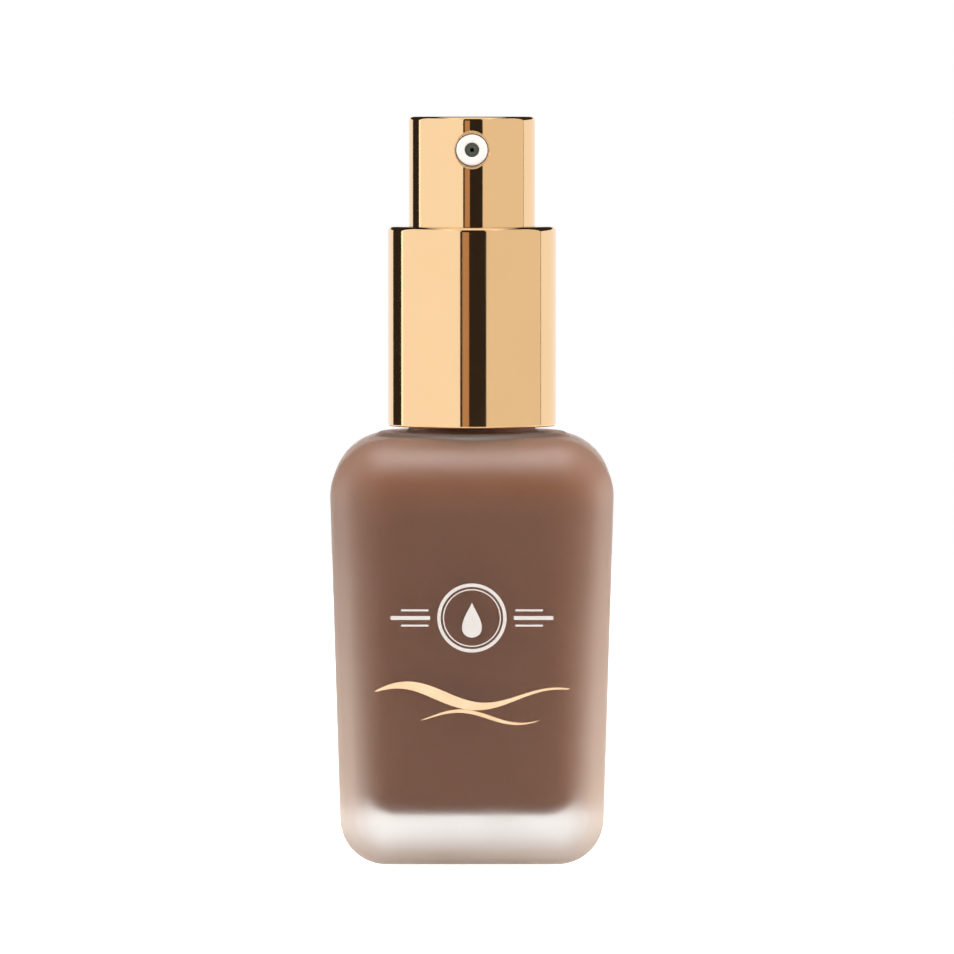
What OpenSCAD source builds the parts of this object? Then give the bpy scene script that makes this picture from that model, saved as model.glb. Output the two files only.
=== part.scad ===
// Foundation bottle: a square frosted glass bottle with a screwed-on dosing pump.
// Millimetres, +Z up, origin at the centre of the base, nozzle towards -Y.

/* [Bottle] */
// Width of the glass body at its widest, just below the shoulder
body_w = 35.4; // [35:0.1:36.4]
// Height of the glass body, up to the flat of its shoulder
body_h = 52.1; // [51.5:0.1:53.5]
// Lean of each side wall on its way down, in degrees
wall_lean = 1.7; // [0.5:0.1:1.8]
// Radius of the shoulder, and of the upright corners where they meet it
shoulder_r = 7.2; // [7.1:0.05:7.5]
// Radius of the heel, where the walls turn into the base
heel_r = 5.8; // [4.5:0.1:5.8]
// Thickness of the shoulder, and of the side walls just below it
wall_t = 2; // [1.9:0.1:2.3]
// Lean of the inside walls, which makes the glass thicker towards its base
cavity_lean = 4.2; // [3:0.1:4.2]
// Thickness of the solid glass base
base_t = 6.4; // [6:0.1:8]
// Height of the round land under the collar, above the shoulder
land_h = 1.7; // [1.5:0.05:1.9]

/* [Neck] */
// Outside diameter of the neck between its thread turns
neck_d = 15.7; // [15.5:0.05:15.8]
// Diameter over the crest of the neck's thread
thread_d = 17.7; // [17.4:0.05:17.8]
// Height of the neck above the land
neck_h = 14.8; // [14:0.1:15.4]
// Inside diameter of the neck
neck_bore_d = 10.5; // [10:0.1:11]
// Rise of the thread in one turn
thread_lead = 3.175; // [3.1:0.025:3.25]

/* [Collar] */
// Outside diameter of the metal collar
collar_d = 21.2; // [20.9:0.1:21.6]
// Height of the metal collar
collar_h = 25.1; // [24.5:0.1:25.5]
// Wall of the metal collar
collar_t = 0.5; // [0.3:0.05:0.55]

/* [Button] */
// Outside diameter of the metal button
button_d = 15.9; // [15.5:0.05:16]
// Whole height of the button, with the skirt that is inside the collar
button_h = 17; // [16.5:0.1:18]
// Wall of the metal button
button_t = 0.4; // [0.3:0.05:0.45]
// Distance from the button's top down to the middle of its nozzle
nozzle_drop = 4.15; // [3.8:0.05:4.3]
// Diameter of the white nozzle
nozzle_d = 3.95; // [3.8:0.05:4.1]
// Diameter of the hole in the nozzle
orifice_d = 1.8; // [1.2:0.1:2]

/* [Pump] */
// How far the button travels when it is pressed
stroke = 4.5; // [3:0.1:4.6]
// Inside diameter of the pump chamber
chamber_d = 6.6; // [6.5:0.05:6.7]
// Outside diameter of the pump housing
housing_d = 9; // [8.8:0.1:9.2]
// Outside diameter of the stem
stem_d = 4; // [3.9:0.05:4]
// Outside diameter of the dip tube
tube_d = 3.5; // [3.3:0.1:3.6]
// Wire diameter of the return spring
wire_d = 0.5; // [0.4:0.05:0.5]
// Number of turns of the return spring
spring_turns = 5.5; // [4:0.5:6]

/* [Hidden] */
$fn = 72;
e = 0.01;          // overrun of a cut past the face it opens
fit = 0.025;       // clearance of a pressed joint, on the radius
running = 0.08;    // clearance of a sliding joint, on the radius
contact = 0.02;    // gap where two pieces rest on each other

// Levels, from the base upwards
land_z = body_h + land_h;
collar_z = land_z + 0.7;
collar_top = collar_z + collar_h;
lip_z = land_z + neck_h;
gasket_t = 0.8;
flange_t = 1;
deck_t = 1.2;
flange_z = lip_z + gasket_t;
deck_z = flange_z + flange_t;
deck_top = deck_z + deck_t;
button_z = deck_top + 0.3 + stroke;
button_top = button_z + button_h;
nozzle_z = button_top - nozzle_drop;

// Radii
neck_r = neck_d / 2;
crest_r = thread_d / 2;
land_r = 11.2;            // middle of the land's rounded edge
closure_in = crest_r + 0.15;
collar_in = collar_d / 2 - collar_t;
closure_out = collar_in - fit;
button_r = button_d / 2;
core_r = button_r - button_t - fit;
chamber_r = chamber_d / 2;
housing_r = housing_d / 2;
stem_r = stem_d / 2;
tube_r = tube_d / 2;
mouth_r = button_r + 0.15;  // mouth of the collar around the button
deck_hole_r = 4.95;         // hole in the closure's deck, round the chaplet

// Pump chamber, from the flange down
ledge_z = deck_z - 20.4;      // ledge that the spring stands on
ledge_t = 1.5;
ball_pocket_r = 1.9;
ball_seat_z = ledge_z - 3.4;  // wide end of the ball's cone
inlet_r = 0.9;
inlet_ball_r = 1.5;
socket_z = ball_seat_z - 3;   // top of the dip tube's socket
housing_foot = socket_z - 6.6;
ball_z = ball_seat_z - ball_pocket_r + inlet_ball_r * sqrt(2) + contact;

// Plunger, in its raised position
piston_z = ledge_z + 8;       // underside of the piston
valve_z = piston_z + 1;       // outlet ball's seat
outlet_ball_r = 1.25;
outlet_r = 0.8;
valve_bore_r = 1.5;
valve_h = 2.3;                // room that the outlet ball lies in
stem_bore_r = 1.15;
stem_top = nozzle_z - 2.95;
chaplet_foot = deck_z - 3.4;
chaplet_top = button_z - 1.8;
outlet_ball_z = valve_z + sqrt(outlet_ball_r^2 - outlet_r^2) + contact;

// Dip tube
tube_foot = base_t + 1.8;
tube_top = socket_z - 0.1;

// Thread
thread_turns = 2;
closure_turns = 1.25;
thread_z = lip_z - 8.6;       // start of the neck's thread
thread_step = 10;             // degrees between two sections of a thread

GLASS = [0.88, 0.86, 0.84, 0.5];
MAKEUP = [0.42, 0.29, 0.22];
GOLD = [0.93, 0.74, 0.48];
WHITE = [0.95, 0.95, 0.94];
CLEAR = [0.85, 0.87, 0.88];
STEEL = [0.7, 0.71, 0.72];
RUBBER = [0.8, 0.8, 0.78];

// Points on an arc round c, from angle a to angle b
function arc(c, r, a, b, n = 12) = [for (i = [0:n]) let (t = a + (b - a) * i / n) c + r * [cos(t), sin(t)]];

// Half of an upright section: a rounded foot, one straight leaning wall and a rounded top.
// The foot's arc is placed so that the wall touches both arcs.
function wall_profile(z0, z1, foot_r, top_r, lean) =
    let (run = (z1 - top_r) - (z0 + foot_r),
         foot_x = (top_r - foot_r - run * sin(lean)) / cos(lean))
    concat([[0, z0]],
           arc([foot_x, z0 + foot_r], foot_r, -90, -lean, 10),
           arc([0, z1 - top_r], top_r, -lean, 90, 14));

// A square block with that section on its four sides and round its four corners.
// reach is the distance from the middle to the corners' axes.
module soft_block(reach, profile) {
    z0 = profile[0][1];
    z1 = profile[len(profile) - 1][1];
    translate([-reach, -reach, z0]) cube([2 * reach, 2 * reach, z1 - z0]);
    for (turn = [0:90:270]) rotate(turn) translate([reach, reach, 0]) {
        rotate_extrude(angle = 90) polygon(profile);
        rotate([90, 0, 0]) linear_extrude(2 * reach) polygon(profile);
    }
}

// A helical ridge. Its crest stands at crest_r and its root at root_r, and it runs out at both ends.
// side is 1 for a ridge that stands outwards and -1 for one that stands inwards.
module ridge(root_r, crest_r, root_w, crest_w, z, turns, side) {
    n = round(turns * 360 / thread_step);
    fade = 3;
    bite = 0.3 * side;
    points = [for (i = [0:n])
        let (t = i * thread_step,
             full = min(1, i / fade, (n - i) / fade),
             tip = root_r + (crest_r - root_r + 0.15 * side) * full - 0.15 * side,
             zc = z + thread_lead * t / 360)
        for (p = [[root_r - bite, -root_w / 2], [tip, -crest_w / 2], [tip, crest_w / 2],
                  [root_r - bite, root_w / 2]])
            [p[0] * cos(t), p[0] * sin(t), zc + p[1]]];
    sides = [for (i = [0:n - 1]) for (k = [0:3])
        let (a = 4 * i + k, b = 4 * i + (k + 1) % 4)
        each [[a, b, b + 4], [a, b + 4, a + 4]]];
    ends = [[3, 2, 1], [3, 1, 0], [4 * n, 4 * n + 1, 4 * n + 2], [4 * n, 4 * n + 2, 4 * n + 3]];
    faces = concat(sides, ends);
    polyhedron(points, [for (f = faces) side > 0 ? f : [f[2], f[1], f[0]]]);
}

// A round bar that follows a helix, with its first and last turns lying flat
module coil(mean_r, wire_r, z0, z1, turns, sides = 8, per_turn = 24) {
    n = round(turns * per_turn);
    flat = 0.75;
    function height(u) = let (v = max(0, min(1, (u - flat) / (turns - 2 * flat)))) v * v * (3 - 2 * v);
    points = [for (i = [0:n])
        let (u = i / per_turn, t = 360 * u,
             zc = z0 + wire_r + (z1 - z0 - 2 * wire_r) * height(u))
        for (k = [0:sides - 1])
            let (a = 360 * k / sides, r = mean_r + wire_r * cos(a))
            [r * cos(t), r * sin(t), zc + wire_r * sin(a)]];
    skin = [for (i = [0:n - 1]) for (k = [0:sides - 1])
        let (a = sides * i + k, b = sides * i + (k + 1) % sides)
        each [[a, b, b + sides], [a, b + sides, a + sides]]];
    ends = [[for (k = [sides - 1:-1:0]) k], [for (k = [0:sides - 1]) sides * n + k]];
    polyhedron(points, concat(skin, ends));
}

module tube(z0, z1, outer, inner) {
    difference() {
        translate([0, 0, z0]) cylinder(h = z1 - z0, r = outer);
        translate([0, 0, z0 - 1]) cylinder(h = z1 - z0 + 2, r = inner);
    }
}

module lathe(points) {
    rotate_extrude() polygon(points);
}

// ---- Bottle ----

body_reach = body_w / 2 - shoulder_r;
cavity_r = shoulder_r - 0.7;
cavity_foot_r = 3.9;
cavity_reach = body_w / 2 - wall_t - cavity_r;
cavity_top = body_h - wall_t;

module cavity(gap) {
    soft_block(cavity_reach, wall_profile(base_t + gap, cavity_top - gap, cavity_foot_r - gap,
                                          cavity_r - gap, cavity_lean));
}

// Neck and land: a cove leads from the shoulder up to the land's rounded edge. It touches that edge
// and, over the middle of each side, just bites into the shoulder.
module neck() {
    lip_round = 0.7;
    edge_r = 1.3;
    cove_r = 1.5;
    bite = 0.03;
    edge = [land_r, land_z - edge_r];
    crown = [body_reach, body_h - shoulder_r];
    span = norm(edge - crown);
    way = (edge - crown) / span;
    to_crown = shoulder_r + cove_r - bite;
    along = (to_crown^2 - (edge_r + cove_r)^2 + span^2) / (2 * span);
    cove = crown + along * way + sqrt(to_crown^2 - along^2) * [way[1], -way[0]];
    low = 360 + atan2(crown[1] - cove[1], crown[0] - cove[0]);
    high = 360 + atan2(edge[1] - cove[1], edge[0] - cove[0]);
    lathe(concat(
        [[0, body_h - 5], [cove[0] + cove_r * cos(low), body_h - 5]],
        arc(cove, cove_r, low, high, 8),
        arc(edge, edge_r, high - 180, 90, 8),
        arc([neck_r + 0.8, land_z + 0.8], 0.8, 270, 180, 6),
        arc([neck_r - lip_round, lip_z - lip_round], lip_round, 0, 90, 6),
        [[0, lip_z]]));
}

module glass_bottle() {
    recess_r = 8.6;
    color(GLASS) {
        difference() {
            union() {
                soft_block(body_reach, wall_profile(0, body_h, heel_r, shoulder_r, wall_lean));
                neck();
            }
            cavity(0);
            translate([0, 0, cavity_top - 1]) cylinder(h = lip_z, r = neck_bore_d / 2);
            translate([0, 0, -e]) cylinder(h = 0.5 + e, r1 = recess_r + 0.5 + e, r2 = recess_r);
        }
        difference() {
            ridge(neck_r, crest_r, 2, 0.9, thread_z, thread_turns, 1);
            translate([0, 0, thread_z - 4]) cylinder(h = 14, r = neck_r);
        }
    }
}

// The makeup fills the cavity and the foot of the neck, around the pump that hangs in it
module makeup_fill() {
    fill_z = land_z + 2;
    gap = 0.1;
    color(MAKEUP) difference() {
        union() {
            cavity(contact);
            translate([0, 0, cavity_top - 1])
                cylinder(h = fill_z - cavity_top + 1, r = neck_bore_d / 2 - contact);
        }
        lathe([[0, tube_foot - gap], [tube_r + gap, tube_foot - gap], [tube_r + gap, housing_foot - gap],
               [3 + gap, housing_foot - gap], [3 + gap, ball_seat_z - 0.5],
               [housing_r + gap, ball_seat_z + 2], [housing_r + gap, fill_z + 1], [0, fill_z + 1]]);
    }
}

// ---- Pump, still parts ----

module neck_gasket() {
    color(RUBBER) tube(lip_z + contact, flange_z - contact, closure_in - 0.3, housing_r + 0.15);
}

// Chamber with its flange, the captive ball's cage, its conical seat and the dip tube's socket
module pump_housing() {
    color(CLEAR) lathe([
        [chamber_r, deck_z], [7.4, deck_z], [7.4, flange_z], [housing_r, flange_z],
        [housing_r, ball_seat_z + 2], [3, ball_seat_z - 0.5], [3, housing_foot + 0.5],
        [2.6, housing_foot], [tube_r + fit, housing_foot], [tube_r + fit, socket_z],
        [inlet_r, socket_z], [inlet_r, ball_seat_z - ball_pocket_r + inlet_r],
        [ball_pocket_r, ball_seat_z], [ball_pocket_r, ledge_z - ledge_t],
        [1.35, ledge_z - ledge_t + 0.3], [1.35, ledge_z], [chamber_r, ledge_z]]);
}

// Bush that closes the top of the chamber, guides the stem and stops the plunger.
// Its head stands over the closure's deck, so that the closure lifts the pump as it is unscrewed.
module chaplet() {
    bore = stem_r + running;
    color(WHITE) lathe([
        [bore, chaplet_foot], [chamber_r - fit, chaplet_foot], [chamber_r - fit, deck_z + contact],
        [deck_hole_r - 0.15, deck_z + contact], [deck_hole_r - 0.15, deck_top + 0.1],
        [deck_hole_r + 0.6, deck_top + 0.1], [deck_hole_r + 0.6, deck_top + 0.4],
        [deck_hole_r, deck_top + 0.8], [3.1, deck_top + 0.8],
        [3.1, chaplet_top - 0.3], [2.8, chaplet_top], [bore + 0.3, chaplet_top],
        [bore, chaplet_top - 0.3]]);
}

module dip_tube() {
    color(CLEAR) tube(tube_foot, tube_top, tube_r, tube_r - 0.65);
}

// Threaded cap inside the metal collar; its deck clamps the housing's flange onto the gasket
module closure() {
    skirt_z = collar_z + 0.4;
    sleeve_top = collar_top - collar_t - contact;
    color(WHITE) {
        lathe([[closure_in + 0.3, skirt_z], [closure_out - 0.3, skirt_z], [closure_out, skirt_z + 0.3],
               [closure_out, sleeve_top], [closure_out - 1, sleeve_top], [closure_out - 1, deck_top],
               [deck_hole_r, deck_top], [deck_hole_r, deck_z + contact], [closure_in, deck_z + contact],
               [closure_in, skirt_z + 0.3]]);
        intersection() {
            ridge(closure_in, crest_r - 0.75, 1.8, 0.8, thread_z + thread_lead / 2, closure_turns, -1);
            translate([0, 0, thread_z - 4]) cylinder(h = 14, r = closure_in);
        }
    }
}

// Bush in the collar's mouth that keeps the button central
module collar_liner() {
    top = collar_top - collar_t - contact;
    outer = closure_out - 1 - fit;
    color(GOLD) lathe([
        [outer, top], [outer, button_z - 1.4], [mouth_r + 0.35, button_z - 1.4],
        [mouth_r, button_z - 1.1], [mouth_r, top]]);
}

module collar_shell() {
    edge = 0.6;
    outer = collar_d / 2;
    color(GOLD) lathe(concat(
        [[collar_in, collar_z + 0.1], [collar_in + 0.1, collar_z], [outer - 0.2, collar_z]],
        arc([outer - 0.2, collar_z + 0.2], 0.2, -90, 0, 4),
        arc([outer - edge, collar_top - edge], edge, 0, 90, 8),
        [[mouth_r + 0.1, collar_top], [mouth_r, collar_top - 0.1], [mouth_r, collar_top - collar_t],
         [collar_in, collar_top - collar_t]]));
}

// ---- Pump, moving parts ----

module inlet_ball() {
    color(STEEL) translate([0, 0, ball_z]) sphere(r = inlet_ball_r);
}

module outlet_ball() {
    color(STEEL) translate([0, 0, outlet_ball_z]) sphere(r = outlet_ball_r);
}

module return_spring() {
    color(STEEL) coil(2.7, wire_d / 2, ledge_z + contact, piston_z - contact, spring_turns);
}

// Cup that grips the stem's foot, with a sealing lip at each end and the outlet ball's seat in its floor
module piston() {
    lip_r = chamber_r - contact;
    waist_r = chamber_r - 0.25;
    grip_r = 2.5;
    color(WHITE) lathe([
        [outlet_r, piston_z], [waist_r - 0.2, piston_z], [lip_r, piston_z + 0.3], [lip_r, piston_z + 0.8],
        [waist_r, piston_z + 1.1], [waist_r, piston_z + 3.4], [lip_r, piston_z + 3.7],
        [lip_r, piston_z + 4.2], [waist_r - 0.2, piston_z + 4.5], [grip_r, piston_z + 4.5],
        [grip_r, valve_z], [outlet_r, valve_z]]);
}

// Hollow rod from the piston up into the button, with the outlet ball's room in its foot.
// Four slots over that room let the makeup past the raised ball.
module stem() {
    foot_r = 2.5 - fit;
    foot_top = chaplet_foot - contact;
    color(WHITE) difference() {
        lathe([[valve_bore_r, valve_z + contact], [foot_r, valve_z + contact], [foot_r, foot_top - 0.2],
               [foot_r - 0.2, foot_top], [stem_r, foot_top], [stem_r, stem_top - 0.3],
               [stem_r - 0.3, stem_top], [stem_bore_r, stem_top], [stem_bore_r, valve_z + valve_h],
               [valve_bore_r, valve_z + valve_h]]);
        for (turn = [0, 90]) rotate(turn)
            translate([-1.4, -0.25, valve_z + valve_h - 0.2]) cube([2.8, 0.5, 1.4]);
    }
}

// ---- Button ----

nozzle_seat = button_r - 0.375;   // distance of the flat round the nozzle from the button's axis
nozzle_hole_r = nozzle_d / 2 + 0.08;
plug_r = 1.5;
plug_back = 2.8;

// Points the Z axis towards the front at the nozzle's height
module to_nozzle(distance) {
    translate([0, -distance, nozzle_z]) rotate([90, 0, 0]) children();
}

// White body of the button: a block that holds the channel to the nozzle, a skirt and the stem's socket
module actuator_core() {
    top = button_top - button_t - contact;
    block_z = nozzle_z - 2.75;
    color(WHITE) difference() {
        union() {
            translate([0, 0, block_z]) cylinder(h = top - 0.4 - block_z, r = core_r);
            translate([0, 0, top - 0.4]) cylinder(h = 0.4, r1 = core_r, r2 = core_r - 0.4);
            tube(button_z + 0.7, block_z + 0.5, core_r, core_r - 1);
            translate([0, 0, chaplet_top + 0.3 + stroke])
                cylinder(h = block_z - chaplet_top - stroke, r = 3.4);
            for (turn = [45:90:315]) rotate(turn)
                translate([3, -0.4, block_z - 3]) cube([core_r - 3.5, 0.8, 3.5]);
        }
        translate([0, 0, chaplet_top - 1])
            cylinder(h = stem_top + 0.05 - chaplet_top + 1, r = stem_r + fit);
        translate([0, 0, stem_top - 1]) cylinder(h = nozzle_z - stem_top + 1.6, r = stem_bore_r);
        to_nozzle(0) cylinder(h = 10, r = 0.6);
        to_nozzle(plug_back) cylinder(h = 10, r = plug_r + fit);
        to_nozzle(nozzle_seat - 1.2) cylinder(h = 10, r = nozzle_d / 2 + 0.6);
    }
}

// Deep-drawn metal cover, pressed flat round the nozzle's hole
module actuator_shell() {
    edge = 0.5;
    inner = button_r - button_t;
    roof = button_top - button_t;
    color(GOLD) difference() {
        union() {
            lathe(concat(
                [[inner, button_z + 0.1], [inner + 0.1, button_z]],
                arc([button_r - 0.15, button_z + 0.15], 0.15, -90, 0, 4),
                arc([button_r - edge, button_top - edge], edge, 0, 90, 8),
                [[0, button_top], [0, roof], [inner, roof]]));
            to_nozzle(nozzle_seat - 0.4) cylinder(h = 0.5, r = nozzle_d / 2 + 0.55);
        }
        to_nozzle(nozzle_seat) cylinder(h = 5, r = nozzle_d / 2 + 0.4);
        to_nozzle(nozzle_seat - 2) cylinder(h = 5, r = nozzle_hole_r);
    }
}

// White nozzle: a round face that stands in the button's hole, on a plug pressed into the core
module nozzle_insert() {
    face = nozzle_seat + 0.3;
    face_r = nozzle_d / 2;
    color(WHITE) to_nozzle(0) lathe([
        [0.6, plug_back + contact], [plug_r, plug_back + contact], [plug_r, nozzle_seat - 1.1],
        [face_r, nozzle_seat - 1.1], [face_r, face - 0.25], [face_r - 0.25, face],
        [orifice_d / 2 + 0.15, face], [orifice_d / 2, face - 0.15], [orifice_d / 2, face - 1.6],
        [0.6, face - 2]]);
}

glass_bottle();
makeup_fill();
neck_gasket();
pump_housing();
chaplet();
dip_tube();
closure();
collar_liner();
collar_shell();
inlet_ball();
return_spring();
piston();
stem();
outlet_ball();
actuator_core();
actuator_shell();
nozzle_insert();
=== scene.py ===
"""Foundation bottle: a frosted square bottle of makeup with a gold dosing pump, built round the
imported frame."""

import math

import bmesh
import bpy
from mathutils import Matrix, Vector


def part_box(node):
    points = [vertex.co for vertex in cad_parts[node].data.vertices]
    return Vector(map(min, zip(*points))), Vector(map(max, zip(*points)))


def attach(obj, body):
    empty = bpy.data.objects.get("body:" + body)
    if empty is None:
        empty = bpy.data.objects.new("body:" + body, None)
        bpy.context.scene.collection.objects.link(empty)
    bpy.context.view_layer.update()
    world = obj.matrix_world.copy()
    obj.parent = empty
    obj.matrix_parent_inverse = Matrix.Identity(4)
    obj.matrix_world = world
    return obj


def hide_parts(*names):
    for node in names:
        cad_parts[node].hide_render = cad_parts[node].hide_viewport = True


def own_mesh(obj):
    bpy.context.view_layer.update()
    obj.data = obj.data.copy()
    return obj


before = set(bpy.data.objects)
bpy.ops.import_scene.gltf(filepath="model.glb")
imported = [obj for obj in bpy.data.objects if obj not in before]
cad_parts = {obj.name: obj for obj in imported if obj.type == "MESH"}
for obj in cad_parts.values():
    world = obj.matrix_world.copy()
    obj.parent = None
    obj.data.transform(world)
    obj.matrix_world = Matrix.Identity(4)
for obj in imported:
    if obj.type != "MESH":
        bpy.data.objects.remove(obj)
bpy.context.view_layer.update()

MM = 0.001
TINY = 1e-6

# ---- Sizes, from the frame ----

_, bottle_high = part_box("glass_bottle")
collar_low, collar_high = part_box("collar_shell")
button_low, button_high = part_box("actuator_shell")
nozzle_low, nozzle_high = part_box("nozzle_insert")
_, liquid_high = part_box("makeup_fill")
spring_low, spring_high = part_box("return_spring")
housing_low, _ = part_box("pump_housing")
tube_low, tube_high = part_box("dip_tube")

half_width = bottle_high.x
lip_z = bottle_high.z
neck_height = 14.8 * MM
land_z = lip_z - neck_height
body_top = land_z - 0.5 * MM   # where the shoulder would be highest, just under the land
neck_r = 7.85 * MM
bore_r = 5.25 * MM
shoulder_r = 7.2 * MM
heel_r = 5.8 * MM
wall_lean = math.radians(1.7)
cavity_lean = math.radians(4.2)
wall_t = 2 * MM
floor_t = 6.4 * MM
corner_reach = half_width - shoulder_r

cavity_r = shoulder_r - 0.7 * MM
cavity_reach = half_width - wall_t - cavity_r
cavity_foot_r = 3.9 * MM
cavity_top = body_top - wall_t

collar_r = collar_high.x
button_r = button_high.x
mouth_r = button_r + 0.15 * MM
nozzle_z = (nozzle_low.z + nozzle_high.z) / 2
nozzle_r = (nozzle_high.z - nozzle_low.z) / 2
nozzle_face = -nozzle_low.y
flat_y = nozzle_face - 0.3 * MM   # how far the nozzle's seat is from the button's axis


# ---- Modelling by hand: small steps used by every piece ----


def start(name, add, **how):
    """Adds one primitive with nothing else selected, names it and opens it for editing."""
    if bpy.context.object and bpy.context.object.mode == "EDIT":
        bpy.ops.object.mode_set(mode="OBJECT")
    bpy.ops.object.select_all(action="DESELECT")
    add(**how)
    piece = bpy.context.object
    piece.name = name
    piece.data.name = name
    bpy.ops.object.mode_set(mode="EDIT")
    bpy.ops.mesh.select_mode(type="VERT")
    bpy.ops.mesh.select_all(action="SELECT")
    return piece


def edit(piece):
    """Opens one piece for editing with nothing else selected."""
    bpy.ops.object.select_all(action="DESELECT")
    piece.select_set(True)
    bpy.context.view_layer.objects.active = piece
    bpy.ops.object.mode_set(mode="EDIT")


def settle():
    """Leaves editing and sets the active piece's place, turn and size in its mesh."""
    bpy.ops.object.mode_set(mode="OBJECT")
    bpy.ops.object.transform_apply(location=True, rotation=True, scale=True)


def close(piece, crease=35):
    """Merges doubles, turns the faces outwards, and shades the piece smooth up to the crease angle."""
    bpy.ops.mesh.select_all(action="SELECT")
    bpy.ops.mesh.remove_doubles(threshold=2 * TINY)
    bpy.ops.mesh.normals_make_consistent(inside=False)
    settle()
    bpy.ops.object.shade_smooth_by_angle(angle=math.radians(crease))
    return piece


def pick(piece, chosen, kind="FACE"):
    """Selects only the faces, edges or vertices whose middle passes the test."""
    bpy.ops.mesh.select_all(action="DESELECT")
    bpy.ops.mesh.select_mode(type=kind)
    mesh = bmesh.from_edit_mesh(piece.data)
    parts = {"FACE": mesh.faces, "EDGE": mesh.edges, "VERT": mesh.verts}[kind]
    for part in parts:
        if kind == "FACE":
            middle = part.calc_center_median()
        elif kind == "EDGE":
            middle = (part.verts[0].co + part.verts[1].co) / 2
        else:
            middle = part.co
        if chosen(middle, part):
            part.select_set(True)
    mesh.select_flush_mode()
    bmesh.update_edit_mesh(piece.data)


def arc(cx, cz, radius, start_deg, end_deg, steps):
    """Points of an arc in an upright section, as (distance from the axis, height)."""
    points = []
    for i in range(steps + 1):
        turn = math.radians(start_deg + (end_deg - start_deg) * i / steps)
        points.append((cx + radius * math.cos(turn), cz + radius * math.sin(turn)))
    return points


def turned(name, section, sides=128, closed=True, crease=35):
    """A turned piece: a circle at the section's first point, extruded ring by ring along the section.
    A point on the axis closes its ring into a pole. With closed, the last ring meets the first."""
    first_r, first_z = section[0]
    piece = start(name, bpy.ops.mesh.primitive_circle_add, vertices=sides, radius=max(first_r, TINY))
    bpy.ops.transform.translate(value=(0, 0, first_z))
    if first_r < TINY:
        raise ValueError(name + ": a section starts off the axis")
    radius, height = first_r, first_z
    path = list(section[1:]) + ([section[0]] if closed else [])
    for next_r, next_z in path:
        bpy.ops.mesh.extrude_region_move(TRANSFORM_OT_translate={"value": (0, 0, next_z - height)})
        if next_r < TINY:
            bpy.ops.mesh.merge(type="CENTER")
            break
        grow = next_r / radius
        bpy.ops.transform.resize(value=(grow, grow, 1), center_override=(0, 0, next_z))
        radius, height = next_r, next_z
    return close(piece, crease)


def apply_all(piece):
    """Applies every modifier of one piece, in their order."""
    bpy.ops.object.select_all(action="DESELECT")
    piece.select_set(True)
    bpy.context.view_layer.objects.active = piece
    for modifier in list(piece.modifiers):
        bpy.ops.object.modifier_apply(modifier=modifier.name)


def cut(piece, tool, operation="DIFFERENCE"):
    """Cuts or joins a tool with a piece, and throws the tool away."""
    boolean = piece.modifiers.new("cut", "BOOLEAN")
    boolean.operation = operation
    boolean.solver = "EXACT"
    boolean.object = tool
    apply_all(piece)
    bpy.data.objects.remove(tool)


# ---- Frosted glass ----


def wall_section(low, high, foot_r, top_r, slope, last_offset):
    """The outer part of an upright section: rounded foot, one leaning wall and rounded top, as offsets
    from the corner's axis. It ends on the rounded top where the offset has come in to last_offset."""
    run = (high - top_r) - (low + foot_r)
    foot_x = (top_r - foot_r - run * math.sin(slope)) / math.cos(slope)
    lean = math.degrees(slope)
    last = math.degrees(math.acos(last_offset / top_r))
    foot = arc(foot_x, low + foot_r, foot_r, -90, -lean, 12)
    top = arc(0, high - top_r, top_r, -lean, last, 16)
    bands = 12
    wall = []
    for i in range(1, bands):
        share = i / bands
        wall.append((foot[-1][0] + (top[0][0] - foot[-1][0]) * share,
                     foot[-1][1] + (top[0][1] - foot[-1][1]) * share))
    return foot + wall + top


def swept_square(name, section, reach, corner_steps=14, side_steps=14):
    """Draws the section at one corner and takes it round the square: a quarter spin at each corner,
    a straight extrusion along each side. Both ends are left open."""
    piece = start(name, bpy.ops.mesh.primitive_circle_add, vertices=3, radius=MM)
    bpy.ops.mesh.merge(type="CENTER")
    offset, height = section[0]
    here = Vector((reach + offset, -reach, height))
    bpy.ops.transform.translate(value=here)
    for offset, height in section[1:]:
        there = Vector((reach + offset, -reach, height))
        bpy.ops.mesh.extrude_region_move(TRANSFORM_OT_translate={"value": there - here})
        here = there
    bpy.ops.mesh.select_all(action="SELECT")
    corners = ((reach, reach), (-reach, reach), (-reach, -reach), (reach, -reach))
    ways = ((0, 1), (-1, 0), (0, -1), (1, 0))
    for (cx, cy), (dx, dy) in zip(corners, ways):
        step = 2 * reach / side_steps
        for _ in range(side_steps):
            bpy.ops.mesh.extrude_region_move(
                TRANSFORM_OT_translate={"value": (dx * step, dy * step, 0)})
        bpy.ops.mesh.spin(steps=corner_steps, angle=-math.pi / 2, center=(cx, cy, 0), axis=(0, 0, 1))
    bpy.ops.mesh.select_all(action="SELECT")
    bpy.ops.mesh.remove_doubles(threshold=2 * TINY)
    bpy.ops.mesh.select_all(action="DESELECT")
    return piece


def pick_rim(piece, highest):
    """Selects the open rim at the top or at the bottom of a piece."""
    mesh = bmesh.from_edit_mesh(piece.data)
    ends = [v.co.z for e in mesh.edges if e.is_boundary for v in e.verts]
    level = max(ends) if highest else min(ends)
    pick(piece, lambda at, edge: edge.is_boundary and abs(at.z - level) < 5 * TINY, "EDGE")


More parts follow.
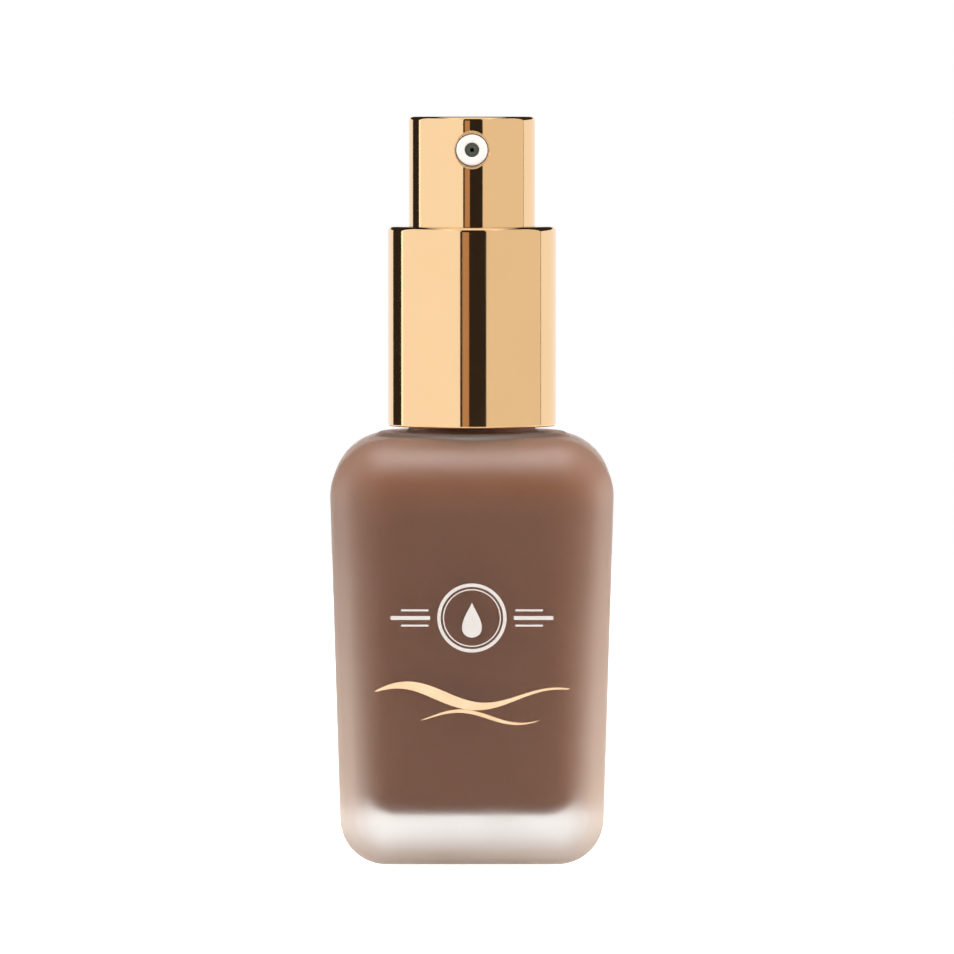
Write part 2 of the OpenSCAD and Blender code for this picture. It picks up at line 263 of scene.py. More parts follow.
def contour_ring(piece, reach, offset, circle, z):
    """Extrudes the selected rim and lays the new ring on the outline of a rounded square joined
    with a circle, at one height. Each vertex keeps its direction from the axis."""
    bpy.ops.mesh.extrude_region_move(TRANSFORM_OT_translate={"value": (0, 0, 0)})
    mesh = bmesh.from_edit_mesh(piece.data)
    for v in mesh.verts:
        if not v.select:
            continue
        way = Vector((v.co.x, v.co.y)).normalized()
        square = square_distance(way, reach, offset) if offset is not None else 0
        distance = soft_max(square, circle)
        v.co = Vector((way.x * distance, way.y * distance, z))
    bmesh.update_edit_mesh(piece.data)


def square_distance(way, reach, offset):
    """Distance from the axis to a rounded square's outline, in one direction."""
    ax, ay = abs(way.x), abs(way.y)
    if ax < ay:
        ax, ay = ay, ax
    flat = (reach + offset) / ax
    if flat * ay <= reach:
        return flat
    along = reach * (ax + ay)
    return along + math.sqrt(max(0, along * along - 2 * reach * reach + offset * offset))


def cove_between(centre_a, radius_a, centre_b, radius_b, cove_r):
    """The hollow rounding that touches two round edges from outside: its centre, and its first and
    last angle in degrees."""
    span = (centre_b - centre_a).length
    way = (centre_b - centre_a) / span
    reach_a, reach_b = radius_a + cove_r, radius_b + cove_r
    along = (reach_a ** 2 - reach_b ** 2 + span ** 2) / (2 * span)
    aside = math.sqrt(reach_a ** 2 - along ** 2)
    centre = centre_a + way * along + Vector((way.y, -way.x)) * aside
    first, last = centre_a - centre, centre_b - centre
    return (centre, 360 + math.degrees(math.atan2(first.y, first.x)),
            360 + math.degrees(math.atan2(last.y, last.x)))


def soft_max(a, b, blend=0.25 * MM):
    """The larger of two distances, rounded off where they cross."""
    gap = abs(a - b)
    extra = max(0, blend - gap) ** 2 / (4 * blend)
    return max(a, b) + extra


def ring_to(piece, radius, z):
    """Extrudes the selected rim to a circle of that radius at that height."""
    contour_ring(piece, 0, None, radius, z)


def glass_thread():
    """The neck's thread: one section carried up two turns by a Screw, run out at both ends."""
    lead = 3.175 * MM
    foot = lip_z - 8.6 * MM
    crest = 8.85 * MM
    root = neck_r - 0.3 * MM
    rib = start("glass_thread", bpy.ops.mesh.primitive_plane_add, size=MM)
    bpy.ops.mesh.select_all(action="DESELECT")
    mesh = bmesh.from_edit_mesh(rib.data)
    corners = ((root, -1.0 * MM), (crest, -0.45 * MM), (crest, 0.45 * MM), (root, 1.0 * MM))
    for v, (r, z) in zip(sorted(mesh.verts, key=lambda v: (v.co.y, v.co.x * (1 if v.co.y < 0 else -1))),
                         corners):
        v.co = Vector((r, 0, foot + z))
    bmesh.update_edit_mesh(rib.data)
    bpy.ops.mesh.select_all(action="SELECT")
    bpy.ops.object.mode_set(mode="OBJECT")
    screw = rib.modifiers.new("turns", "SCREW")
    screw.axis = "Z"
    screw.angle = 4 * math.pi
    screw.screw_offset = 2 * lead
    screw.steps = screw.render_steps = 96
    apply_all(rib)
    edit(rib)
    mesh = bmesh.from_edit_mesh(rib.data)
    fade = math.radians(30)
    for v in mesh.verts:
        r = math.hypot(v.co.x, v.co.y)
        if r < crest - 0.2 * MM:
            continue
        turn = (v.co.z - foot) / lead * 2 * math.pi
        full = max(0.02, min(1, (turn + 0.15) / fade, (4 * math.pi + 0.15 - turn) / fade))
        height = neck_r - 0.15 * MM + (crest - neck_r + 0.15 * MM) * full
        v.co.x *= height / r
        v.co.y *= height / r
    bmesh.update_edit_mesh(rib.data)
    bpy.ops.mesh.select_all(action="SELECT")
    bpy.ops.mesh.fill_holes(sides=0)
    bpy.ops.mesh.select_all(action="SELECT")
    bpy.ops.mesh.normals_make_consistent(inside=False)
    bpy.ops.object.mode_set(mode="OBJECT")
    return rib


def frosted_bottle():
    """The glass: body, shoulder, land and neck outside, a recess under the base, the hollow inside, and
    the thread."""
    edge_r, cove_r = 1.3 * MM, 1.5 * MM
    edge = Vector((11.2 * MM, land_z - edge_r))
    crown = Vector((corner_reach, body_top - shoulder_r))
    cove, low, high = cove_between(crown, shoulder_r - 0.03 * MM, edge, edge_r, cove_r)
    shoulder_end = cove.x + cove_r * math.cos(math.radians(low)) - corner_reach + 0.25 * MM
    section = wall_section(0, body_top, heel_r, shoulder_r, wall_lean, shoulder_end)
    glass = swept_square("frosted_bottle", section, corner_reach)

    # shoulder, up the cove to the land, and the neck
    pick_rim(glass, True)
    for r, z in arc(cove.x, cove.y, cove_r, low - 4, high, 12):
        rest = z - crown.y
        flat = body_top - 0.01 * MM
        if z < flat:
            contour_ring(glass, corner_reach, math.sqrt(shoulder_r ** 2 - rest ** 2), r, z)
        else:
            ring_to(glass, r, z)
    for r, z in arc(edge.x, edge.y, edge_r, high - 180, 90, 8):
        ring_to(glass, r, z)
    for r, z in arc(neck_r + 0.8 * MM, land_z + 0.8 * MM, 0.8 * MM, 270, 180, 6):
        ring_to(glass, r, z)
    for r, z in arc(neck_r - 0.7 * MM, lip_z - 0.7 * MM, 0.7 * MM, 0, 90, 6):
        ring_to(glass, r, z)
    for r, z in arc(bore_r + 0.5 * MM, lip_z - 0.5 * MM, 0.5 * MM, 90, 180, 4):
        ring_to(glass, r, z)
    ring_to(glass, bore_r, land_z)
    ring_to(glass, bore_r, cavity_top + 1.6 * MM)

    # recess under the base
    pick_rim(glass, False)
    for r, z in ((10.2, 0), (9.3, 0), (9.1, 0.05), (8.7, 0.45), (8.5, 0.5), (5, 0.5), (1.5, 0.5)):
        ring_to(glass, r * MM, z * MM)
    bpy.ops.mesh.merge(type="CENTER")
    bpy.ops.object.mode_set(mode="OBJECT")

    # inside of the bottle, joined to the bore
    inner = cavity_skin("cavity", 0)
    bpy.ops.object.mode_set(mode="OBJECT")
    bpy.ops.object.select_all(action="DESELECT")
    inner.select_set(True)
    glass.select_set(True)
    bpy.context.view_layer.objects.active = glass
    bpy.ops.object.join()
    bpy.ops.object.mode_set(mode="EDIT")
    pick(glass, lambda at, edge: edge.is_boundary, "EDGE")
    bpy.ops.mesh.bridge_edge_loops()
    close(glass, crease=50)
    cut(glass, glass_thread(), "UNION")
    edit(glass)
    close(glass, crease=50)
    return glass


def cavity_skin(name, grow):
    """The skin of the bottle's inside, grown outwards by a hair for the liquid that wets it."""
    section = wall_section(floor_t - grow, cavity_top + grow, cavity_foot_r + grow, cavity_r + grow,
                           cavity_lean, 1.2 * MM)
    skin = swept_square(name, section, cavity_reach)
    pick_rim(skin, True)
    ring_to(skin, 8.6 * MM, cavity_top + grow)
    ring_to(skin, bore_r + grow + 0.8 * MM, cavity_top + grow)
    ring_to(skin, bore_r + grow, cavity_top + 0.8 * MM)
    pick_rim(skin, False)
    ring_to(skin, 7 * MM, floor_t - grow)
    ring_to(skin, 2 * MM, floor_t - grow)
    bpy.ops.mesh.merge(type="CENTER")
    return skin


def liquid_makeup():
    """The makeup wets the glass, and leaves a channel for the pump that hangs in it."""
    wet = 0.03 * MM
    gap = 0.1 * MM
    liquid = cavity_skin("liquid_makeup", wet)
    pick_rim(liquid, True)
    channel = 4.5 * MM + gap
    ball_seat = spring_low.z - 3.42 * MM
    rings = [(bore_r + wet, liquid_high.z - 0.3 * MM), (bore_r - 0.2 * MM, liquid_high.z),
             (channel, liquid_high.z), (channel, ball_seat + 2 * MM), (3 * MM + gap, ball_seat - 0.5 * MM),
             (3 * MM + gap, housing_low.z - gap), (tube_high.x + gap, housing_low.z - gap),
             (tube_high.x + gap, tube_low.z - gap)]
    for r, z in rings:
        ring_to(liquid, r, z)
    bpy.ops.mesh.merge(type="CENTER")
    return close(liquid, crease=50)


# ---- Gold shells ----


def collar_skin():
    """Deep-drawn collar: a straight tube with a turned-in top and a trimmed foot."""
    inner = collar_r - 0.5 * MM
    foot, top = collar_low.z, collar_high.z
    edge = 0.6 * MM
    bands = [(collar_r, foot + 0.24 * MM)]
    bands += [(collar_r, foot + (top - foot) * i / 8) for i in range(1, 8)]
    bands += [(collar_r, top - edge - 0.04 * MM)]
    section = [(inner, foot + 0.1 * MM), (inner + 0.1 * MM, foot), (collar_r - 0.2 * MM, foot)]
    section += arc(collar_r - 0.2 * MM, foot + 0.2 * MM, 0.2 * MM, -90, 0, 5)[1:]
    section += bands
    section += arc(collar_r - edge, top - edge, edge, 0, 90, 10)
    section += [(mouth_r + 0.35 * MM, top)]
    section += arc(mouth_r + 0.15 * MM, top - 0.15 * MM, 0.15 * MM, 90, 180, 4)
    section += [(mouth_r, top - 0.5 * MM), (inner, top - 0.5 * MM)]
    return turned("gold_collar", section, sides=192)


def nozzle_cutter(name, radius, near, far, sides=96):
    """A round cutter along the nozzle's axis, between two distances from the button's axis."""
    tool = start(name, bpy.ops.mesh.primitive_cylinder_add, vertices=sides, radius=radius,
                 depth=far - near, location=(0, -(near + far) / 2, nozzle_z), rotation=(math.pi / 2, 0, 0))
    settle()
    return tool


def countersink(shell):
    """Sinks a cone round the nozzle hole and rolls a thin eyelet round its foot."""
    foot, flare, deep = nozzle_r + 0.15 * MM, 0.75 * MM, 1 * MM
    sink = start("sink", bpy.ops.mesh.primitive_cone_add, vertices=96, radius1=foot, radius2=foot + flare,
                 depth=deep, location=(0, -flat_y - deep / 2, nozzle_z), rotation=(math.pi / 2, 0, 0))
    settle()
    cut(shell, sink)
    eyelet = start("eyelet", bpy.ops.mesh.primitive_torus_add, major_radius=nozzle_r + 0.2 * MM,
                   minor_radius=0.11 * MM, major_segments=96, minor_segments=16,
                   location=(0, -flat_y, nozzle_z), rotation=(math.pi / 2, 0, 0))
    settle()
    cut(shell, eyelet, "UNION")


def button_skin():
    """Deep-drawn button: a cup with a tight top edge, pressed flat round its nozzle hole."""
    inner = button_r - 0.4 * MM
    foot, top = button_low.z, button_high.z
    roof = top - 0.4 * MM
    edge = 0.5 * MM
    bands = [(button_r, foot + 0.19 * MM)]
    bands += [(button_r, foot + (top - foot) * share) for share in (0.15, 0.3, 0.45, 0.55)]
    bands += [(button_r, nozzle_z + rise * 0.45 * MM) for rise in range(-6, 7)]
    bands += [(button_r, top - edge - 0.04 * MM)]
    section = [(inner, roof - 0.2 * MM), (inner, foot + 0.1 * MM), (inner + 0.1 * MM, foot),
               (button_r - 0.15 * MM, foot)]
    section += arc(button_r - 0.15 * MM, foot + 0.15 * MM, 0.15 * MM, -90, 0, 4)[1:]
    section += bands
    section += arc(button_r - edge, top - edge, edge, 0, 90, 10)
    section += [(6.2 * MM, top), (4 * MM, top), (1.5 * MM, top), (0, top)]
    shell = turned("gold_button", section, sides=192, closed=False)
    edit(shell)
    pick_rim(shell, True)
    for r, z in ((inner - 0.2 * MM, roof), (4 * MM, roof), (1.5 * MM, roof)):
        ring_to(shell, r, z)
    bpy.ops.mesh.merge(type="CENTER")
    close(shell)
    pad = nozzle_cutter("pad", nozzle_r + 0.3 * MM, flat_y - 0.4 * MM, flat_y - 0.01 * MM)
    cut(shell, pad, "UNION")
    countersink(shell)
    cut(shell, nozzle_cutter("hole", nozzle_r + 0.08 * MM, flat_y - 2 * MM, flat_y + 4 * MM))
    edit(shell)
    close(shell, crease=30)
    return shell


def white_nozzle():
    """Nozzle: a rounded white ring round a stepped hole, on the plug that holds it in the button."""
    r = nozzle_r
    hole = 0.9 * MM
    plug = 1.5 * MM
    face = nozzle_face
    back = -nozzle_high.y
    section = [(0.6 * MM, back), (plug, back), (plug, flat_y - 1.1 * MM), (r, flat_y - 1.1 * MM)]
    section += arc(r - 0.35 * MM, face - 0.35 * MM, 0.35 * MM, 0, 90, 8)
    section += [(hole + 0.5 * MM, face)]
    section += arc(hole + 0.2 * MM, face - 0.2 * MM, 0.2 * MM, 90, 180, 6)
    section += [(hole, face - 0.6 * MM), (0.84 * MM, face - 0.72 * MM), (0.35 * MM, face - 0.72 * MM),
                (0.25 * MM, face - 0.8 * MM), (0.25 * MM, face - 1.6 * MM)]
    piece = turned("white_nozzle", section, sides=96)
    piece.rotation_euler = (math.pi / 2, 0, 0)
    piece.location = (0, 0, nozzle_z)
    settle()
    return piece


def paint_bore_shade(piece, bore_shade):
    """Gives the walls of the nozzle's deep hole a darker grey material: painted shade where the hole lies
    in shadow.
    """
    piece.data.materials.append(bore_shade)
    deep = nozzle_face - 0.22 * MM
    # faces inside the hole get the painted shade
    for face in piece.data.polygons:
        away = math.hypot(face.center.x, face.center.z - nozzle_z)
        if away < 0.93 * MM and -face.center.y < deep and -face.center.y > nozzle_face - 2.05 * MM:
            face.material_index = 1


# ---- Return spring ----


def steel_spring():
    """Spring of round wire whose first and last turns lie flat, as a bevelled curve made a mesh."""
    wire = 0.25 * MM
    mean_r = spring_high.x - wire
    turns, flat, per_turn = 5.5, 0.75, 28
    low, high = spring_low.z + wire, spring_high.z - wire
    bpy.ops.object.select_all(action="DESELECT")
    bpy.ops.curve.primitive_bezier_curve_add()
    coil = bpy.context.object
    coil.name = "steel_spring"
    wire_line = coil.data
    wire_line.splines.clear()
    count = int(turns * per_turn) + 1
    line = wire_line.splines.new("POLY")
    line.points.add(count - 1)
    for i in range(count):
        turn = i / per_turn
        climb = max(0, min(1, (turn - flat) / (turns - 2 * flat)))
        climb = climb * climb * (3 - 2 * climb)
        way = 2 * math.pi * turn
        line.points[i].co = (mean_r * math.cos(way), mean_r * math.sin(way), low + (high - low) * climb, 1)
    wire_line.bevel_depth = wire
    wire_line.bevel_resolution = 3
    wire_line.use_fill_caps = True
    bpy.ops.object.convert(target="MESH")
    coil = bpy.context.object
    edit(coil)
    return close(coil, crease=60)


# ---- Print on the front ----

INK_AHEAD = 2 * MM   # how far in front of the wall a patch of ink is drawn before it is laid on


def front_wall_y(z):
    """Where the front wall stands at that height."""
    run = (body_top - shoulder_r) - heel_r
    foot_x = (shoulder_r - heel_r - run * math.sin(wall_lean)) / math.cos(wall_lean)
    low_x = foot_x + heel_r * math.cos(wall_lean)
    low_z = heel_r - heel_r * math.sin(wall_lean)
    return -(corner_reach + low_x + (z - low_z) * math.tan(wall_lean))


def ink_shape(name, outline):
    """One flat patch of ink. The outline is (x, z) in millimetres, and the patch stands off the wall."""
    shape = start(name, bpy.ops.mesh.primitive_circle_add, vertices=len(outline), radius=MM)
    mesh = bmesh.from_edit_mesh(shape.data)
    mesh.verts.ensure_lookup_table()
    for v, (x, z) in zip(mesh.verts, outline):
        v.co = Vector((x * MM, front_wall_y(z * MM) - INK_AHEAD, z * MM))
    bmesh.update_edit_mesh(shape.data)
    bpy.ops.mesh.select_all(action="SELECT")
    bpy.ops.mesh.edge_face_add()
    bpy.ops.object.mode_set(mode="OBJECT")
    return shape


def ink_ring(name, radius, width, z, sides=72):
    """A flat ring of ink: a circle with a second one extruded inwards."""
    ring = start(name, bpy.ops.mesh.primitive_circle_add, vertices=sides, radius=radius * MM)
    bpy.ops.mesh.extrude_region_move(TRANSFORM_OT_translate={"value": (0, 0, 0)})
    inner = (radius - width) / radius
    bpy.ops.transform.resize(value=(inner, inner, inner), center_override=(0, 0, 0))
    bpy.ops.object.mode_set(mode="OBJECT")
    ring.rotation_euler = (math.pi / 2, 0, 0)
    ring.location = (0, front_wall_y(z * MM) - INK_AHEAD, z * MM)
    settle()
    return ring


def drop_outline(x, z, size, steps=40):
    """A drop: round below, drawn out to a point above."""
    points = []
    for i in range(steps):
        turn = 2 * math.pi * i / steps
        points.append((x + size * math.sin(turn) * math.sin(turn / 2) ** 1.5,
                       z + 1.25 * size * math.cos(turn)))
    return points


def stroke_outline(line, width, steps=48):
    """A brush stroke: a line from 0 to 1 with a width that swells and thins, as one closed outline."""
    near = 0.01
    upper, lower = [], []
    for i in range(steps + 1):
        share = i / steps
        x, z = line(share)
        ahead = line(min(1, share + near))
        behind = line(max(0, share - near))
        way = Vector((ahead[0] - behind[0], ahead[1] - behind[1])).normalized()
        half = width(share) / 2
        upper.append((x - way.y * half, z + way.x * half))
        lower.append((x + way.y * half, z - way.x * half))
    return upper + lower[-2:0:-1]


def lay_ink(name, shapes, glass):
    """Joins flat patches of ink, cuts them into narrow strips that can follow the glass, lays them
    on it and gives them the thickness of a coat of ink."""
    bpy.ops.object.select_all(action="DESELECT")
    for shape in shapes:
        shape.select_set(True)
    bpy.context.view_layer.objects.active = shapes[0]
    if len(shapes) > 1:
        bpy.ops.object.join()
    coat = bpy.context.object
    coat.name = name
    coat.data.name = name
    edit(coat)
    reach = max(abs(v.co.x) for v in bmesh.from_edit_mesh(coat.data).verts)
    strip = 0.4 * MM
    count = int(reach / strip) + 1
    for i in range(-count, count):
        bpy.ops.mesh.select_all(action="SELECT")
        bpy.ops.mesh.bisect(plane_co=((i + 0.03) * strip, 0, 0), plane_no=(1, 0, 0))
    bpy.ops.object.mode_set(mode="OBJECT")
    wrap = coat.modifiers.new("lay", "SHRINKWRAP")
    wrap.target = glass
    wrap.wrap_method = "PROJECT"
    wrap.use_project_y = True
    wrap.use_positive_direction = True
    wrap.use_negative_direction = False
    wrap.offset = 0.02 * MM
    thick = coat.modifiers.new("coat", "SOLIDIFY")
    thick.thickness = 0.03 * MM
    thick.offset = 0
    apply_all(coat)
    edit(coat)
    return close(coat, crease=40)


def emblem(glass):
    """A drop in a ring between fine rules: a plain ornament in place of a name."""
    z = 31.3
    shapes = [ink_ring("ring", 4.3, 0.42, z), ink_ring("inner_ring", 3.6, 0.14, z)]
    shapes.append(ink_shape("drop", drop_outline(0, z - 0.25, 1.75)))
    for side in (-1, 1):
        for rise, near, far in ((0, 5.2, 10.1), (0.95, 5.4, 8.8), (-0.95, 5.4, 8.8)):
            ends = sorted((side * near, side * far))
            thick = 0.24 if rise == 0 else 0.12
            shapes.append(ink_shape("rule", [(ends[0], z + rise - thick), (ends[1], z + rise - thick),
                                             (ends[1], z + rise + thick), (ends[0], z + rise + thick)]))
    return lay_ink("printed_emblem", shapes, glass)


def flourish(glass):
    """Two brush strokes in gold under the emblem."""

    def long_line(share):
        sway = math.sin(2 * math.pi * share * 1.25 + 0.4)
        return (-12.1 + 24.3 * share, 21.5 + 1.5 * sway * (1 - 0.35 * share))

    def long_width(share):
        return 0.12 + 1.5 * math.sin(math.pi * share) ** 0.8 * (0.62 + 0.38 * math.sin(5.2 * share + 0.5))

    def short_line(share):
        return (-6.4 + 14.8 * share, 18.9 + 0.8 * math.sin(2 * math.pi * share - 0.5))

    def short_width(share):
        return 0.06 + 0.42 * math.sin(math.pi * share)

    shapes = [ink_shape("long_stroke", stroke_outline(long_line, long_width, 72)),
              ink_shape("short_stroke", stroke_outline(short_line, short_width))]
    return lay_ink("printed_flourish", shapes, glass)


# ---- Materials ----


def grain_group():
    """Fine surface grain: patchy colour, patchy roughness and a height for the bump."""
    group = bpy.data.node_groups.new("surface_grain", "ShaderNodeTree")
    io = group.interface
    io.new_socket("Vector", in_out="INPUT", socket_type="NodeSocketVector")
    for name in ("Grain Scale", "Patch Scale", "Rough Low", "Rough High"):
        io.new_socket(name, in_out="INPUT", socket_type="NodeSocketFloat")
    for name in ("Colour A", "Colour B"):
        io.new_socket(name, in_out="INPUT", socket_type="NodeSocketColor")
    io.new_socket("Color", in_out="OUTPUT", socket_type="NodeSocketColor")
    io.new_socket("Roughness", in_out="OUTPUT", socket_type="NodeSocketFloat")
    io.new_socket("Height", in_out="OUTPUT", socket_type="NodeSocketFloat")
    nodes, links = group.nodes, group.links
    given = nodes.new("NodeGroupInput")
    put = nodes.new("NodeGroupOutput")
    patches = nodes.new("ShaderNodeTexNoise")
    patches.inputs["Detail"].default_value = 4
    grain = nodes.new("ShaderNodeTexNoise")
    grain.inputs["Detail"].default_value = 3
    links.new(given.outputs["Vector"], patches.inputs["Vector"])
    links.new(given.outputs["Patch Scale"], patches.inputs["Scale"])
    links.new(given.outputs["Vector"], grain.inputs["Vector"])
    links.new(given.outputs["Grain Scale"], grain.inputs["Scale"])
    spread = nodes.new("ShaderNodeMapRange")
    spread.inputs["From Min"].default_value = 0.3
    spread.inputs["From Max"].default_value = 0.7
    links.new(patches.outputs["Fac"], spread.inputs["Value"])
    rough = nodes.new("ShaderNodeMapRange")
    links.new(spread.outputs["Result"], rough.inputs["Value"])
    links.new(given.outputs["Rough Low"], rough.inputs["To Min"])
    links.new(given.outputs["Rough High"], rough.inputs["To Max"])
    tint = nodes.new("ShaderNodeMix")
    tint.data_type = "RGBA"
    links.new(spread.outputs["Result"], tint.inputs["Factor"])
    links.new(given.outputs["Colour A"], tint.inputs["A"])
    links.new(given.outputs["Colour B"], tint.inputs["B"])
    links.new(tint.outputs["Result"], put.inputs["Color"])
    links.new(rough.outputs["Result"], put.inputs["Roughness"])
    links.new(grain.outputs["Fac"], put.inputs["Height"])
    return group


GRAIN = grain_group()


def finish_of(name, colour_a, colour_b, rough_low, rough_high, grain=4000, patch=120, bump=0.1,
              bump_depth=0.01 * MM, **plain):
    """A material with one Principled shader whose colour, roughness and bump come from the grain group.
    What is the same all over goes on the shader's own sockets, by name."""
    material = bpy.data.materials.new(name)
    material.use_nodes = True
    nodes, links = material.node_tree.nodes, material.node_tree.links
    shader = nodes["Principled BSDF"]
    place = nodes.new("ShaderNodeTexCoord")
    grains = nodes.new("ShaderNodeGroup")
    grains.node_tree = GRAIN
    grains.inputs["Grain Scale"].default_value = grain
    grains.inputs["Patch Scale"].default_value = patch
    grains.inputs["Rough Low"].default_value = rough_low
    grains.inputs["Rough High"].default_value = rough_high
    grains.inputs["Colour A"].default_value = (*colour_a, 1)
    grains.inputs["Colour B"].default_value = (*colour_b, 1)
    links.new(place.outputs["Object"], grains.inputs["Vector"])
    links.new(grains.outputs["Color"], shader.inputs["Base Color"])
    links.new(grains.outputs["Roughness"], shader.inputs["Roughness"])
    if bump:
        raised = nodes.new("ShaderNodeBump")
        raised.inputs["Strength"].default_value = bump
        raised.inputs["Distance"].default_value = bump_depth
        links.new(grains.outputs["Height"], raised.inputs["Height"])
        links.new(raised.outputs["Normal"], shader.inputs["Normal"])
    for socket, value in plain.items():
        shader.inputs[socket.replace("_", " ")].default_value = value
    return material


def frosted_glass():
    """Acid-etched glass. Light on its way to the makeup passes straight through the etched skin."""
    haze_colour = (0.57, 0.46, 0.39, 1)
    full_turn = 0.32
    clear_from, full_at = 48 * MM, 8 * MM
    least, most = 0.06, 0.55
    material = finish_of("frosted_glass", (0.99, 0.985, 0.975), (0.97, 0.965, 0.955), 0.42, 0.5,
                         grain=5200, patch=160, bump=0.12, bump_depth=0.01 * MM,
                         Transmission_Weight=1.0, IOR=1.5, Specular_IOR_Level=0.25)
    nodes, links = material.node_tree.nodes, material.node_tree.links
    shader = nodes["Principled BSDF"]
    out = nodes["Material Output"]
    path = nodes.new("ShaderNodeLightPath")
    clear = nodes.new("ShaderNodeBsdfTransparent")
    clear.inputs["Color"].default_value = (0.94, 0.94, 0.94, 1)
    choice = nodes.new("ShaderNodeMixShader")
    links.new(path.outputs["Is Shadow Ray"], choice.inputs["Fac"])
    links.new(clear.outputs["BSDF"], choice.inputs[2])

    # the etch scatters more light where the wall turns away and towards the thick foot
    haze = nodes.new("ShaderNodeBsdfDiffuse")
    haze.inputs["Color"].default_value = haze_colour
    turn = nodes.new("ShaderNodeLayerWeight")
    turn.inputs["Blend"].default_value = 0.5
    side = nodes.new("ShaderNodeMapRange")
    side.inputs["From Max"].default_value = full_turn
    place = nodes.new("ShaderNodeTexCoord")
    split = nodes.new("ShaderNodeSeparateXYZ")
    foot = nodes.new("ShaderNodeMapRange")
    foot.inputs["From Min"].default_value = clear_from
    foot.inputs["From Max"].default_value = full_at
    foot.inputs["To Min"].default_value = least
    foot.inputs["To Max"].default_value = most
    share = nodes.new("ShaderNodeMath")
    share.operation = "MULTIPLY"
    skin = nodes.new("ShaderNodeNewGeometry")
    outside = nodes.new("ShaderNodeMath")
    outside.operation = "SUBTRACT"
    outside.inputs[0].default_value = 1
    outer = nodes.new("ShaderNodeMath")
    outer.operation = "MULTIPLY"
    etched = nodes.new("ShaderNodeMixShader")
    links.new(turn.outputs["Facing"], side.inputs["Value"])
    links.new(place.outputs["Object"], split.inputs["Vector"])
    links.new(split.outputs["Z"], foot.inputs["Value"])
    links.new(side.outputs["Result"], share.inputs[0])
    links.new(foot.outputs["Result"], share.inputs[1])
    links.new(skin.outputs["Backfacing"], outside.inputs[1])
    links.new(share.outputs["Value"], outer.inputs[0])
    links.new(outside.outputs["Value"], outer.inputs[1])
    links.new(outer.outputs["Value"], etched.inputs["Fac"])
    links.new(shader.outputs["BSDF"], etched.inputs[1])
    links.new(haze.outputs["BSDF"], etched.inputs[2])
    links.new(etched.outputs["Shader"], choice.inputs[1])
    links.new(choice.outputs["Shader"], out.inputs["Surface"])
    return material


def wear(piece, material):
    """Gives a piece its one material."""
    piece.data.materials.clear()
    piece.data.materials.append(material)


GOLD = finish_of("gold_anodised_aluminium", (0.92, 0.632, 0.352), (0.905, 0.618, 0.34), 0.045, 0.075,
                 grain=260, patch=90, bump=0.012, bump_depth=0.05 * MM, Metallic=1.0)
GLASS = frosted_glass()
MAKEUP = finish_of("liquid_makeup", (0.175, 0.068, 0.032), (0.165, 0.063, 0.029), 0.55, 0.65,
                   grain=900, patch=60, bump=0.05, Specular_IOR_Level=0.0)
WHITE = finish_of("white_polypropylene", (0.78, 0.77, 0.76), (0.74, 0.73, 0.72), 0.28, 0.36,
                  grain=3000, patch=200, bump=0.06)
# painted shade: a darker grey for the inside of the nozzle's deep hole, standing in for the shadow in it
PAINTED_BORE_SHADE = finish_of("painted_bore_shade", (0.12, 0.13, 0.108), (0.1, 0.11, 0.09), 0.4, 0.55,
                   grain=3000, patch=400, bump=0.05)
NATURAL = finish_of("natural_polypropylene", (0.72, 0.74, 0.73), (0.66, 0.68, 0.67), 0.35, 0.45,
                    grain=2500, patch=180, bump=0.08, Transmission_Weight=0.25)
STEEL = finish_of("stainless_steel", (0.62, 0.61, 0.6), (0.56, 0.55, 0.54), 0.14, 0.24,
                  grain=3500, patch=700, bump=0.05, Metallic=1.0)
FOAM = finish_of("sealing_foam", (0.78, 0.78, 0.76), (0.6, 0.6, 0.58), 0.8, 0.95,
                 grain=5000, patch=900, bump=0.5, bump_depth=0.03 * MM)
PALE_INK = finish_of("pale_ink", (0.66, 0.64, 0.63), (0.62, 0.6, 0.59), 0.4, 0.5,
                     grain=4000, patch=500, bump=0.1)
GOLD_INK = finish_of("gold_ink", (0.84, 0.62, 0.4), (0.76, 0.52, 0.31), 0.4, 0.5,
                     grain=4000, patch=300, bump=0.1)

# ---- The pieces ----

bottle = frosted_bottle()
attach(bottle, "bottle")
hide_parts("glass_bottle")
wear(bottle, GLASS)

liquid = liquid_makeup()
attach(liquid, "bottle")
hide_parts("makeup_fill")
wear(liquid, MAKEUP)

mark = emblem(bottle)
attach(mark, "bottle")
wear(mark, PALE_INK)

strokes = flourish(bottle)
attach(strokes, "bottle")
wear(strokes, GOLD_INK)

collar = collar_skin()
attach(collar, "collar")
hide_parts("collar_shell")
wear(collar, GOLD)

button = button_skin()
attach(button, "button")
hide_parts("actuator_shell")
wear(button, GOLD)

nozzle = white_nozzle()
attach(nozzle, "button")
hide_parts("nozzle_insert")
wear(nozzle, WHITE)
# painted shade inside the nozzle's hole
paint_bore_shade(nozzle, PAINTED_BORE_SHADE)

spring = steel_spring()
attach(spring, "pump")
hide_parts("return_spring")
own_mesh(spring)
wear(spring, STEEL)

for node, material in (("neck_gasket", FOAM), ("pump_housing", NATURAL), ("chaplet", WHITE),
                       ("dip_tube", NATURAL), ("closure", WHITE), ("collar_liner", GOLD),
                       ("inlet_ball", STEEL), ("piston", WHITE), ("stem", WHITE),
                       ("outlet_ball", STEEL), ("actuator_core", WHITE)):
    wear(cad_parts[node], material)

# ---- Stage: floor, camera and light ----

